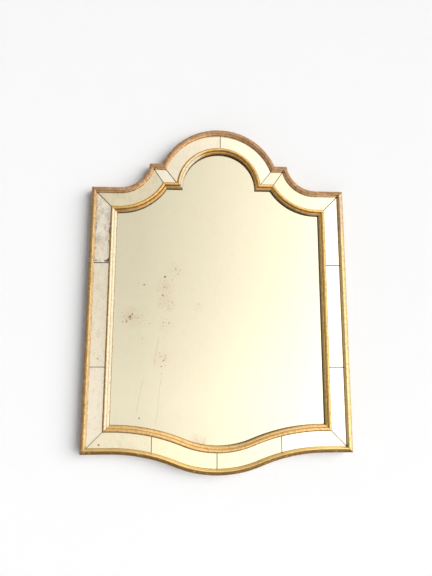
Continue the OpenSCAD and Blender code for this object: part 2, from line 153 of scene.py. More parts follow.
def add_node(tree, kind, settings=None, sockets=None, output=0):
    """Adds one node, sets it up, fills or links its sockets, and gives the wire of one output.

    A kind without Node in its name is a shader node.
    """
    node = tree.nodes.new(kind if "Node" in kind else "ShaderNode" + kind)
    for name, value in (settings or {}).items():
        setattr(node, name, value)
    for key, value in (sockets or {}).items():
        if isinstance(value, Wire):
            tree.links.new(value.socket, node.inputs[key])
        else:
            node.inputs[key].default_value = value
    return Wire(tree, node.outputs[output]) if node.outputs else node


def mix_colour(factor, a, b, blend="MIX"):
    """Colour a where the factor is 0, and b where it is 1."""
    tree = next(w for w in (factor, a, b) if isinstance(w, Wire)).tree
    settings = {"data_type": "RGBA", "blend_type": blend}
    a, b = ((*c, 1.0) if isinstance(c, tuple) else c for c in (a, b))
    return add_node(tree, "Mix", settings, {0: factor, 6: a, 7: b}, output=2)


def mix_number(factor, a, b):
    return factor * (b - a) + a


def shade(colour, *factors):
    """A colour times one factor, or times one factor for each channel."""
    return tuple(c * f for c, f in zip(colour, factors * (3 // len(factors))))


def noise(place, size, detail, rough, seed, warp=0.0):
    """Smooth noise from 0 to 1 whose lumps are about size metres across."""
    sockets = {"Vector": place, "W": seed, "Scale": 1.0 / size, "Detail": detail, "Roughness": rough,
               "Distortion": warp}
    return add_node(place.tree, "TexNoise", {"noise_dimensions": "4D"}, sockets)


def cells(place, size, seed):
    """Distance to the nearest of scattered points about size metres apart, in cell sizes."""
    sockets = {"Vector": place, "W": seed, "Scale": 1.0 / size}
    return add_node(place.tree, "TexVoronoi", {"voronoi_dimensions": "4D", "feature": "F1"}, sockets,
                    "Distance")


def stretched(place, x, y, z):
    """The place times a factor on each axis: a factor below 1 draws a pattern out along that axis."""
    return place.vector("MULTIPLY", (x, y, z))


def new_tree(owner):
    owner.use_nodes = True
    owner.node_tree.nodes.clear()
    return owner.node_tree


def object_place(tree):
    return add_node(tree, "TexCoord", output="Object")


def object_normal(tree):
    return add_node(tree, "TexCoord", output="Normal")


def attribute(tree, name, output="Vector"):
    return add_node(tree, "Attribute", {"attribute_name": name}, output=output)


def bump(height, depth, strength=1.0, under=None):
    """A normal for a height from 0 to 1 that stands for depth metres."""
    sockets = {"Height": height, "Distance": depth, "Strength": strength}
    if under is not None:
        sockets["Normal"] = under
    return add_node(height.tree, "Bump", {}, sockets)


def finish(build):
    """Turns a function that gives a Principled BSDF's sockets into one that makes a named material."""

    def make(name, *values, **options):
        material = bpy.data.materials.new(name)
        tree = new_tree(material)
        shader = add_node(tree, "BsdfPrincipled", {}, build(tree, *values, **options))
        add_node(tree, "OutputMaterial", {}, {"Surface": shader})
        return material

    return make


# Finishes
LEAF_WARM = (0.87, 0.54, 0.20)
LEAF_AMBER = (0.84, 0.50, 0.15)
LEAF_YELLOW = (0.94, 0.70, 0.30)
LEAF_PALE = (0.88, 0.68, 0.40)
LEAF_PINK = (0.85, 0.61, 0.40)
# Faded leaf, laid where a sight edge faces the light, so partly painted light
LEAF_FADED_AND_LIT = (0.81, 0.75, 0.57)
BOLE = (0.44, 0.225, 0.115)
GESSO = (0.70, 0.58, 0.42)
# Grime in hollows, and the colour of the painted shade by the glass and on the bead's fall
GRIME_AND_SHADE = (0.085, 0.052, 0.024)
# Browns for the outer side of a moulding: a worn edge, laid on partly as painted shade
EDGE_BROWN = (0.36, 0.20, 0.07)
EDGE_AMBER = (0.18, 0.08, 0.014)
EDGE_RED = (0.47, 0.245, 0.11)

# Where the gilding changes, painted shade among the marks: insets, or heights over the carcass,
# at which a mark starts and is full
BELOW_CREST = (4 * MM, 0.6 * MM)
GROOVE_HEIGHTS = (6.4 * MM, 5.2 * MM)
GROOVE_INSETS = (11.5 * MM, 10 * MM)
SIGHT_HEIGHTS = (3.4 * MM, 2.6 * MM)
SIGHT_INSETS = (15.75 * MM, 15.95 * MM)
FALL_SHADE_INSETS = (13.5 * MM, 15.5 * MM)
FILLET_INSETS = (3 * MM, 1 * MM)
FILLET_HEIGHTS = (6 * MM, 5 * MM)
PALE_BLEND = 2.2 * MM
PALE_END_BLEND = 20 * MM
BROWN_BLEND = 1.4 * MM
WORN_BLEND = 3 * MM
LEAF_LENGTH = 74 * MM


@finish
def gilt(tree, seed, leaf, wear, crest_h, pale_at, pale_leaf=LEAF_PALE, pale_dull=0.0, brown_to=1 * MM,
         brown=EDGE_BROWN, worn_above=FAR, pale_to_x=FAR):
    """Old water gilding: burnished on the crest, paler by the glass, rubbed to the clay, grime in hollows.

    crest_h is the height of the crest over the carcass, pale_at the inset where the pale leaf starts,
    pale_dull the share of its shine that the pale leaf has lost, and brown_to the inset to which the
    outer side is toned brown, partly a worn edge and partly painted shade. Above the height worn_above
    the leaf is worn to the clay all over, and the pale leaf ends at the x of pale_to_x. The pale leaf is
    partly painted light where a sight edge faces the light, the crest's brighter leaf is partly a painted
    highlight, and painted shade darkens the sight edge by the glass and the bead's fall where they face
    away from the light.
    """
    place = object_place(tree)
    section = attribute(tree, "section")
    inset, height = section.part(0), section.part(1)
    run = attribute(tree, "UVMap").part(0)
    mitre = attribute(tree, "mitre", "Fac")
    crest = height.ease(*(crest_h - below for below in BELOW_CREST))
    hollow = height.ease(*GROOVE_HEIGHTS) * inset.ease(*GROOVE_INSETS)
    facing = object_normal(tree)
    right, up = facing.part(0), facing.part(2)
    # Painted shade: where the gilding faces down or to the left, away from the light, it is darkened by the
    # glass and on the bead's fall
    shaded = up.ease(0.5, 0.1).most(right.ease(0.0, -0.25)) * right.ease(0.98, 0.85)
    sight_shade = height.ease(*SIGHT_HEIGHTS) * inset.ease(*SIGHT_INSETS) * shaded
    broad = noise(place, 60 * MM, 3, 0.6, seed)
    fine = noise(place, 5 * MM, 5, 0.65, seed + 2)
    grain = noise(place, 1.2 * MM, 4, 0.7, seed + 4)
    tone = noise(place, 22 * MM, 4, 0.6, seed + 6)
    dash = noise(stretched(place, 1, 1, 0.45), 6 * MM, 3, 0.7, seed + 9)
    # Paler leaf by the glass: partly faded leaf and partly painted light where a sight edge faces the light,
    # as on the left pieces, and pale_to_x ends it on the arch past the part that faces the light
    pale = (inset + fine * 2 * MM).ease(pale_at, pale_at + PALE_BLEND)
    pale = pale * place.part(0).ease(pale_to_x + PALE_END_BLEND, pale_to_x - PALE_END_BLEND)
    # Leaf darker off the crest and brighter on it: partly tone and burnish, partly painted shade off the
    # crest and a painted highlight on it
    deep = shade(leaf, 0.70, 0.63, 0.52)
    colour = mix_colour((crest * 0.8 + tone - 0.4).ease(0.2, 0.9), deep, leaf)
    colour = mix_colour(pale * 0.85, colour, pale_leaf)
    colour = mix_colour(fine.ease(0.52, 0.7) * 0.4, colour, pale_leaf)
    lap = (run / LEAF_LENGTH + broad * 0.35).fraction()
    lap_edge = lap.ease(0.03, 0.0) + lap.ease(0.985, 1.0)
    rubbed = (crest * wear + broad * 0.5 + fine * 0.35 - 0.2 + lap_edge * 0.06).ease(0.46, 0.7)
    chipped = (cells(place, 26 * MM, seed + 8) + fine * 0.16).ease(0.17, 0.13) * crest
    worn = (fine * 0.5 + tone * 0.5).ease(0.25, 0.45)
    worn = worn * place.part(2).ease(worn_above, worn_above + WORN_BLEND)
    rubbed = rubbed.most(worn)
    # Outer side toned brown: partly a worn, stained edge and partly painted shade, reaching further on the
    # left and bottom pieces, whose outer sides face away from the light
    edge = (inset + (dash - 0.5) * 3 * MM).ease(brown_to + BROWN_BLEND, brown_to)
    nick = (cells(place, 15 * MM, seed + 11) + fine * 0.2).ease(0.24, 0.18)
    nicked = nick * inset.ease(*FILLET_INSETS) + dash.ease(0.56, 0.64) * height.ease(*FILLET_HEIGHTS) * 0.5
    grime_and_shade = (hollow * 0.35 + grain * 0.3 + broad * 0.35).ease(0.62, 0.85) * (1.0 - pale * 0.6)
    fall_shade = (0.5 + up.ease(-0.1, -0.5) * 0.45) * inset.ease(*FALL_SHADE_INSETS) * right.ease(0.0, -0.25)
    grime_and_shade = grime_and_shade.most(sight_shade).most(fall_shade).most(nicked).most(mitre.ease(0.78, 0.9)).held()
    colour = mix_colour(rubbed * (0.35 + wear), colour, BOLE)
    colour = mix_colour(worn * 0.7, colour, LEAF_PINK)
    colour = mix_colour(chipped, colour, GESSO)
    colour = mix_colour(edge * (0.55 + dash * 0.6), colour, brown)
    mottle = noise(place, 7 * MM, 6, 0.7, seed + 13)
    colour = mix_colour(mottle.ease(0.49, 0.44) * (0.2 + wear - pale * 0.2), colour, shade(deep, 0.5))
    colour = mix_colour(mottle.ease(0.56, 0.61) * 0.4, colour, pale_leaf)
    # Grime in hollows, nicks and mitre joints, with the painted shade by the glass and on the bead's fall
    colour = mix_colour(grime_and_shade * 0.85, colour, GRIME_AND_SHADE)
    bare = (rubbed * wear + chipped + grime_and_shade * 0.8 + edge * 0.4 + pale * pale_dull).held()
    return {
        "Base Color": colour,
        "Metallic": 1.0 - bare * 0.9,
        "Roughness": (0.28 - crest * 0.06 + grain * 0.12 + bare * 0.35).held(),
        "Normal": bump(fine * 0.6 + grain * 0.4 - chipped * 0.8, 0.35 * MM, 0.5),
    }


# Scratches waver by this much, and fade out over this many mm at their ends
SCRATCH_SWAY = 9 * MM
SCRATCH_FADE = 22

# Foxing creeps in from a side over these distances
CREEP_REACH = (5 * MM, 0.5 * MM)
NO_SIDES = (-999, 999)

MILK = (0.90, 0.85, 0.75)
FOXED = (0.19, 0.125, 0.07)
TARNISH = (0.12, 0.105, 0.085)
BARE_GLASS = (0.035, 0.04, 0.035)
COLD_TINT = (0.96, 1.0, 0.98)
WARM_TINT = (1.0, 0.955, 0.92)
WARM_SLOPE = 0.35


def spot_mask(x, z, spots):
    """1 at the middle of the strongest spot near by, and 0 past the reach of every spot."""
    near = x * 0.0
    for spot_x, spot_z, reach, strength in spots:
        across = (x - spot_x * MM) / (reach * MM)
        up = (z - spot_z * MM) / (reach * MM)
        far = (across * across + up * up) ** 0.5
        near = near.most(far.ease(1.0, 0.0) * strength)
    return near


def scratch_mask(x, z, scratches, sway):
    """Thin lines that waver with sway, each in mm: top x, top z, foot x, foot z, width and strength."""
    seen = x * 0.0
    for top_x, top_z, foot_x, foot_z, width, strength in scratches:
        slope = (top_x - foot_x) / (top_z - foot_z)
        off = abs(x - (z - foot_z * MM) * slope - foot_x * MM + (sway - 0.5) * SCRATCH_SWAY)
        along = (z.ease(foot_z * MM, (foot_z + SCRATCH_FADE) * MM)
                 * z.ease(top_z * MM, (top_z - SCRATCH_FADE) * MM))
        seen = seen.most(off.ease(width * MM, 0.0) * along * strength)
    return seen


@finish
def old_mirror(tree, tone, seed, milk, streaks, edge, tilt, spots, stains=(), scratches=(), smudges=(),
               sides=NO_SIDES, hue_size=9 * MM):
    """Old silvered glass: a warm reflection, milky and dull in streaks, foxed at its edge and in spots.

    tilt is how far the glass leans to the right, stains are brownish and full of dots, smudges are dull and
    pinkish, sides are the two x in mm from which foxing creeps in, and hue_size is the size of the warm and
    cold patches, which are warmer towards the upper left.
    """
    place = object_place(tree)
    x, z = place.part(0), place.part(2)
    streak = noise(stretched(place, 1, 1, 0.4), 8 * MM, 3, 0.6, seed + 1)
    blot = noise(stretched(place, 1, 1, 0.7), 15 * MM, 4, 0.6, seed + 6)
    speck = noise(place, 3.2 * MM, 4, 0.75, seed + 2)
    dust = noise(place, 1.1 * MM, 3, 0.8, seed + 3)
    sway = noise(stretched(place, 0, 0, 1), 60 * MM, 3, 0.5, seed + 4)
    near = spot_mask(x, z, spots)
    stained = spot_mask(x, z, stains) * blot.ease(0.3, 0.5)
    dot = cells(place, 5.5 * MM, seed + 7) + dust * 0.22
    dots = dot.ease(0.6, 0.36) * stained.ease(0.05, 0.4) * speck.ease(0.38, 0.48)
    solid = (near + speck * 0.4 + dust * 0.1).ease(0.88, 1.0)
    rim = (attribute(tree, "rim", "Fac") * 1.3 + speck - 0.55).ease(0.35, 0.8) * edge
    side = (x - sides[0] * MM).least(sides[1] * MM - x)
    creep = side.ease(*CREEP_REACH) * (speck * 0.6 + streak * 0.5).ease(0.56, 0.64)
    spotted = (dots * 0.35).most(solid * 0.8)
    tarnished = rim.most(creep * 0.85)
    foxed = spotted.most(tarnished)
    lines = scratch_mask(x, z, scratches, sway) * speck.ease(0.3, 0.55)
    milky = ((blot.ease(0.5, 0.7) * 0.35 + streak.ease(0.5, 0.68) * 0.5) * streaks + milk).held()
    dull = ((blot.ease(0.5, 0.34) * 0.5 + streak.ease(0.46, 0.32) * 0.5) * streaks * 0.55 + lines).held()
    hue = noise(stretched(place, 1, 1, 0.4), hue_size, 2, 0.5, seed + 9) + (z - x) * WARM_SLOPE
    tint = mix_colour(hue.ease(0.4, 0.6), COLD_TINT, WARM_TINT)
    colour = mix_colour(0.15 + streaks * 0.85, tone, mix_colour(1.0, tint, tone, "MULTIPLY"))
    colour = mix_colour(dull, colour, shade(tone, 0.55))
    colour = mix_colour(milky, colour, MILK)
    colour = mix_colour(stained * 0.4, colour, shade(tone, 0.9, 0.75, 0.62))
    smudge = spot_mask(x, z, smudges) * streak.ease(0.3, 0.6)
    colour = mix_colour(smudge * 0.7, colour, shade(tone, 0.72, 0.52, 0.5))
    colour = mix_colour(tarnished, mix_colour(spotted, colour, FOXED), TARNISH)
    colour = mix_colour((near + speck * 0.3).ease(1.25, 1.4), colour, BARE_GLASS)
    normal = object_normal(tree)
    front = normal.part(1).ease(-0.4, -0.6)
    leaning = normal.vector("ADD", (tilt, 0, 0)).vector("NORMALIZE")
    colour = mix_colour(front, BARE_GLASS, colour)
    return {
        "Base Color": colour,
        "Metallic": (front * (1.0 - foxed * 0.85) * (1.0 - milky * 0.6)).held(),
        "Roughness": (0.02 + milky * 0.2 + foxed * 0.4 + (1.0 - front) * 0.5).held(),
        "Normal": bump(noise(place, 70 * MM, 1, 0.4, seed + 5), 0.15 * MM, 0.35, leaning),
        "Coat Weight": 0.3 * front,
        "Coat Roughness": 0.01,
    }


RING_DRAW = 0.06
FIBRE_DRAW = 0.02
RINGS = 14.0


def wood_colour(tree, axis, light, dark, seed):
    """Sawn wood with its grain drawn out along one axis: its place, colour, late wood and fibre."""
    place = object_place(tree)
    draw = [1.0, 1.0, 1.0]
    draw[axis] = RING_DRAW
    lines = (noise(stretched(place, *draw), 30 * MM, 2, 0.5, seed, warp=0.4) * RINGS).fraction()
    late = lines.ease(0.45, 0.9) * lines.ease(1.0, 0.93)
    draw[axis] = FIBRE_DRAW
    fibre = noise(stretched(place, *draw), 1.4 * MM, 4, 0.7, seed + 1)
    pores = noise(stretched(place, *draw), 0.6 * MM, 2, 0.8, seed + 2)
    colour = mix_colour(late * 0.5 + fibre.ease(0.3, 0.7) * 0.35, light, dark)
    colour = mix_colour(pores.ease(0.62, 0.72) * 0.4, colour, shade(dark, 0.5))
    return place, colour, late, fibre


PINE_LIGHT, PINE_DARK = (0.52, 0.33, 0.17), (0.33, 0.175, 0.075)
PINE_STAIN = (0.17, 0.10, 0.05)
PINE_DUST = (0.62, 0.50, 0.36)
EDGE_STAIN, EDGE_STAIN_DARK = (0.36, 0.215, 0.09), (0.22, 0.125, 0.055)
BLACK_PAINT = (0.02, 0.016, 0.012)


@finish
def board_wood(tree, axis, seed):
    """Aged pine, bare and dusty behind, stained ochre on its edges and blackened under the glass."""
    place, colour, late, fibre = wood_colour(tree, axis, PINE_LIGHT, PINE_DARK, seed)
    normal = object_normal(tree)
    stain = noise(place, 110 * MM, 4, 0.6, seed + 3)
    colour = mix_colour(stain.ease(0.45, 0.75) * 0.45, colour, PINE_STAIN)
    scuff = noise(place, 12 * MM, 5, 0.7, seed + 4)
    colour = mix_colour(scuff.ease(0.6, 0.75) * 0.25, colour, PINE_DUST)
    edge = normal.part(1).ease(0.6, 0.3)
    paint = mix_colour(scuff.ease(0.45, 0.7), EDGE_STAIN, EDGE_STAIN_DARK)
    colour = mix_colour(edge * scuff.ease(0.72, 0.6), colour, paint)
    front = normal.part(1).ease(-0.5, -0.8)
    colour = mix_colour(front, colour, BLACK_PAINT)
    return {
        "Base Color": colour,
        "Roughness": (0.62 + fibre * 0.25).held(),
        "Normal": bump(fibre * 0.6 - late * 0.5 + scuff * 0.3, 0.3 * MM, 0.5),
    }


@finish
def plain_wood(tree, axis, light, dark, seed):
    """Bare wood with darker stains."""
    place, colour, late, fibre = wood_colour(tree, axis, light, dark, seed)
    stain = noise(place, 160 * MM, 4, 0.6, seed + 3)
    colour = mix_colour(stain.ease(0.42, 0.75) * 0.4, colour, shade(dark, 0.45))
    return {
        "Base Color": colour,
        "Roughness": (0.55 + fibre * 0.25).held(),
        "Normal": bump(fibre * 0.5 - late * 0.3, 0.2 * MM, 0.5),
    }


# Colour of rust, and of the grime and painted shade in screw slots
RUST_AND_SHADE = (0.14, 0.07, 0.035)


@finish
def old_steel(tree, colour, seed):
    """Zinc-plated steel gone dull, rusted brown in places, darker in its slots with grime and painted shade.
    """
    place = object_place(tree)
    blotch = noise(place, 7 * MM, 4, 0.6, seed)
    grain = noise(place, 0.8 * MM, 3, 0.7, seed + 1)
    # Rust in places, joined with the grime and painted shade at the bottom of the screw slots
    rust_and_slot_shade = (blotch * 0.75 + grain * 0.3).ease(0.6, 0.72).most(attribute(tree, "dirt", "Fac"))
    base = mix_colour(grain.ease(0.3, 0.8), colour, shade(colour, 0.6))
    return {
        "Base Color": mix_colour(rust_and_slot_shade * 0.8, base, RUST_AND_SHADE),
        "Metallic": 1.0 - rust_and_slot_shade * 0.85,
        "Roughness": (0.36 + blotch * 0.15 + rust_and_slot_shade * 0.35).held(),
        "Normal": bump(grain * 0.5 + rust_and_slot_shade, 0.08 * MM, 0.6),
    }


# Lines of the front, as points (x, z), with as many points at every inset
def steps_for(length):
    return max(2, math.ceil(length / LINE_STEP))


def straight(start, end, count):
    return [(start[0] + (end[0] - start[0]) * i / count, start[1] + (end[1] - start[1]) * i / count)
            for i in range(count + 1)]


def arc(centre, radius, start, end, count):
    turns = [start + (end - start) * i / count for i in range(count + 1)]
    return [(centre[0] + radius * math.cos(a), centre[1] + radius * math.sin(a)) for a in turns]


def step_out_at(inset):
    drop = HOLLOW_Z - STEP_Z + inset
    return HOLLOW_X - math.sqrt((HOLLOW_R + inset) ** 2 - drop**2), STEP_Z - inset


def step_in_at(inset):
    return math.sqrt((ARCH_R - inset) ** 2 - (STEP_Z - inset - ARCH_Z) ** 2), STEP_Z - inset


def side_line(inset):
    x = HALF_W - inset
    return straight((x, inset), (x, SHOULDER_Z - inset), steps_for(SHOULDER_Z))


def shoulder_line(inset):
    flat_z = SHOULDER_Z - inset
    end = step_out_at(inset)
    turn = math.atan2(end[1] - HOLLOW_Z, end[0] - HOLLOW_X)
    flat = straight((HALF_W - inset, flat_z), (HOLLOW_X, flat_z), steps_for(HALF_W - HOLLOW_X))
    count = steps_for(HOLLOW_TURN * HOLLOW_R)
    return flat + arc((HOLLOW_X, HOLLOW_Z), HOLLOW_R + inset, -math.pi / 2, turn, count)[1:]


def step_line(inset):
    return straight(step_out_at(inset), step_in_at(inset), steps_for(STEP_OUT_X - STEP_IN_X))


def arch_line(inset):
    end = step_in_at(inset)
    turn = math.atan2(end[1] - ARCH_Z, end[0])
    return arc((0, ARCH_Z), ARCH_R - inset, turn, math.pi - turn, steps_for(ARCH_TURN * ARCH_R))


def foot_line(inset):
    pass_turn = math.atan2(BELLY_Z + FOOT_R, FOOT_X)
    flat = straight((HALF_W - inset, inset), (FOOT_X, inset), steps_for(HALF_W - FOOT_X))
    count = steps_for(FOOT_TURN * FOOT_R)
    hollow = arc((FOOT_X, -FOOT_R), FOOT_R + inset, math.pi / 2, math.pi - pass_turn, count)
    belly = arc((0, BELLY_Z), BELLY_R - inset, -pass_turn, pass_turn - math.pi, steps_for(BELLY_R))
    half = flat + hollow[1:]
    return half + belly[1:-1] + mirrored(half)[::-1]


def mirrored(points):
    return [(-x, z) for x, z in points]


def outline(inset):
    """The whole outline at an inset, once round."""
    right = side_line(inset) + shoulder_line(inset)[1:] + step_line(inset)[1:]
    head = arch_line(inset)[1:-1]
    return right + head + mirrored(right)[::-1] + foot_line(inset)[::-1][1:-1]


# Meshes
def new_object(name, mesh):
    thing = bpy.data.objects.new(name, mesh)
    bpy.context.scene.collection.objects.link(thing)
    return thing


def line_object(name, points):
    """A guide line in the XZ plane that keeps the distance run at each of its points."""
    mesh = bpy.data.meshes.new(name)
    mesh.from_pydata([(x, 0, z) for x, z in points], [(i, i + 1) for i in range(len(points) - 1)], [])
    run = mesh.attributes.new("run", "FLOAT", "POINT")
    total = 0.0
    for i in range(1, len(points)):
        total += math.dist(points[i - 1], points[i])
        run.data[i].value = total
    return new_object(name, mesh)


CORNER_REACH = 0.4 * MM
CORNER_SHARES = (0.0, 0.33, 0.67, 1.0)
LONGEST_SHARE = 0.45
BLUNT = math.radians(150)
FILLET_H = 6.6 * MM
LIP_H = PANEL_T + 2 * MM


def eased(points):
    """A closed section with each sharp corner turned into a short curve."""
    soft = []
    count = len(points)
    for i in range(count):
        before, here, after = (Vector(points[(i + k) % count]) for k in (-1, 0, 1))
        a, b = before - here, after - here
        if a.angle(b) > BLUNT:
            soft.append(here)
            continue
        start = here + a.normalized() * min(CORNER_REACH, a.length * LONGEST_SHARE)
        end = here + b.normalized() * min(CORNER_REACH, b.length * LONGEST_SHARE)
        for share in CORNER_SHARES:
            soft.append(start.lerp(here, share).lerp(here.lerp(end, share), share))
    return soft


def outer_section():
    """Inset and height over the carcass: fillet, long rise to a crest near the glass, lip over the panels."""
    start_x, start_y = 0.9 * MM, 7.2 * MM
    crest_x, crest_y = 9.1 * MM, 12 * MM
    fall_r = 3 * MM
    seat_x = OUTER_W - PANEL_LAP
    steps = 12
    turns = [math.pi / 2 * i / steps for i in range(steps + 1)]
    rise = [(crest_x - (crest_x - start_x) * math.cos(a), start_y + (crest_y - start_y) * math.sin(a))
            for a in turns]
    fall = [(crest_x + fall_r * math.sin(a), crest_y - fall_r + fall_r * math.cos(a)) for a in turns[2:]]
    section = [(0, 0), (0, FILLET_H), (start_x, FILLET_H), *rise, *fall, (crest_x + fall_r, LIP_H),
               (OUTER_W, LIP_H), (OUTER_W, PANEL_T), (seat_x, PANEL_T), (seat_x, 0)]
    return eased(section)


def inner_section():
    """Inset from the panels' edge and height over the carcass: lip, main round, groove, falling bead."""
    lip_w = 1 * MM
    main_r, main_y = 4.4 * MM, 6.6 * MM
    main_x = lip_w + main_r
    groove_y = 5.9 * MM
    bead = ((10.1, 6.0), (10.6, 6.5), (11.4, 6.7), (12.3, 6.5), (13.5, 5.8), (14.8, 4.8), (15.6, 4.0),
            (16.0, 3.3))
    section = [(PANEL_LAP, 0), (PANEL_LAP, PANEL_T), (0, PANEL_T), (0, LIP_H), (lip_w, LIP_H),
               *arc((main_x, main_y), main_r, math.pi, 0, 16), (main_x + main_r, groove_y),
               *((x * MM, y * MM) for x, y in bead), (INNER_W, 0)]
    return eased(section)


def section_object(name, points):
    curve = bpy.data.curves.new(name, "CURVE")
    spline = curve.splines.new("POLY")
    spline.points.add(len(points) - 1)
    for place, point in zip(points, spline.points):
        point.co = (place[0], place[1], 0, 1)
    spline.use_cyclic_u = True
    return new_object(name, curve)


class Recipe:
    """A Geometry Nodes tree with named inputs, and a way to run it."""

    def __init__(self, name, inputs):
        self.tree = bpy.data.node_groups.new(name, "GeometryNodeTree")
        self.tree.interface.new_socket("Geometry", in_out="OUTPUT", socket_type="NodeSocketGeometry")
        self.keys = {}
        for label, kind in inputs.items():
            socket = self.tree.interface.new_socket(label, in_out="INPUT", socket_type="NodeSocket" + kind)
            self.keys[label] = socket.identifier
        self.group = self.tree.nodes.new("NodeGroupInput")

    def given(self, label):
        return Wire(self.tree, self.group.outputs[label])

    def add(self, kind, settings=None, sockets=None, output=0):
        """As add_node, but a kind without Node in its name is a geometry node."""
        kind = kind if "Node" in kind else "GeometryNode" + kind
        return add_node(self.tree, kind, settings, sockets, output)

    def stored(self, geometry, name, value, kind="FLOAT", domain="POINT"):
        sockets = {"Geometry": geometry, "Name": name, "Value": value}
        return self.add("StoreNamedAttribute", {"data_type": kind, "domain": domain}, sockets)

    def named(self, name, kind="FLOAT"):
        return self.add("InputNamedAttribute", {"data_type": kind}, {"Name": name})

    def end(self, geometry, material):
        real = self.add("RealizeInstances", {}, {"Geometry": geometry})
        dressed = self.add("SetMaterial", {}, {"Geometry": real, "Material": material})
        self.add("NodeGroupOutput", {}, {"Geometry": dressed})

    def make(self, name, values):
        """Runs the tree with these inputs and gives its result as a plain mesh object."""
        carrier = new_object(name + "_carrier", bpy.data.meshes.new(name))
        modifier = carrier.modifiers.new("recipe", "NODES")
        modifier.node_group = self.tree
        for label, value in values.items():
            modifier[self.keys[label]] = value
        graph = bpy.context.evaluated_depsgraph_get()
        mesh = bpy.data.meshes.new_from_object(carrier.evaluated_get(graph), depsgraph=graph)
        bpy.data.objects.remove(carrier)
        mesh.name = name
        return new_object(name, mesh)


def moulding_recipe():
    """A section run between two guide lines, so that its ends are mitred as the lines end."""
    inputs = {"Outer line": "Object", "Inner line": "Object", "Section": "Object", "Rings": "Int",
              "Width": "Float", "Base": "Float", "Wobble": "Float", "Seed": "Float", "Material": "Material"}
    recipe = Recipe("mitred moulding", inputs)
    add, given = recipe.add, recipe.given

    def geometry_of(label):
        return add("ObjectInfo", {}, {"Object": given(label)}, "Geometry")

    place = add("InputPosition")
    section = recipe.stored(geometry_of("Section"), "section", place, "FLOAT_VECTOR")
    section = recipe.stored(section, "girth", add("SplineParameter", output="Length"))
    rail = add("CurvePrimitiveLine", {}, {"Start": (0, 0, 0), "End": (0, 0, 1)})
    rail = add("ResampleCurve", {}, {"Curve": rail, "Count": given("Rings")})
    rail = recipe.stored(rail, "ring", add("InputIndex"), "INT")
    tube = add("CurveToMesh", {}, {"Curve": rail, "Profile Curve": section, "Fill Caps": True})
    ring = recipe.named("ring", "INT")

    def at_ring(line, value, kind):
        settings = {"data_type": kind, "domain": "POINT"}
        return add("SampleIndex", settings, {"Geometry": line, "Value": value, "Index": ring})

    outer, inner = geometry_of("Outer line"), geometry_of("Inner line")
    start = at_ring(outer, place, "FLOAT_VECTOR")
    end = at_ring(inner, place, "FLOAT_VECTOR")
    across = recipe.named("section", "FLOAT_VECTOR")
    share = across.part(0) / given("Width")
    settings = {"data_type": "VECTOR", "clamp_factor": False}
    flat = add("ShaderNodeMix", settings, {0: share, 4: start, 5: end}, 1)
    height = across.part(1)
    out = add("ShaderNodeCombineXYZ", {}, {"Y": 0 - height - given("Base")})
    run = at_ring(outer, recipe.named("run"), "FLOAT")
    run_and_girth = add("ShaderNodeCombineXYZ", {}, {"X": run, "Y": recipe.named("girth")})
    tube = recipe.stored(tube, "UVMap", run_and_girth, "FLOAT2", "CORNER")
    mitre = (1 - ring).most(ring - given("Rings") + 2).held()
    tube = recipe.stored(tube, "mitre", mitre)
    tube = add("SetPosition", {}, {"Geometry": tube, "Position": flat.vector("ADD", out)})
    seed = given("Seed")
    sway = noise(place, 45 * MM, 1, 0.5, seed) * 0.7 + noise(place, 9 * MM, 2, 0.5, seed) * 0.3 - 0.5
    sway = sway * given("Wobble") * height.ease(PANEL_T, PANEL_T + 2 * MM)
    push = add("ShaderNodeVectorMath", {"operation": "SCALE"}, {0: add("InputNormal"), "Scale": sway})
    tube = add("SetPosition", {}, {"Geometry": tube, "Offset": push})
    tube = add("SetShadeSmooth", {}, {"Geometry": tube})
    recipe.end(tube, given("Material"))
    return recipe


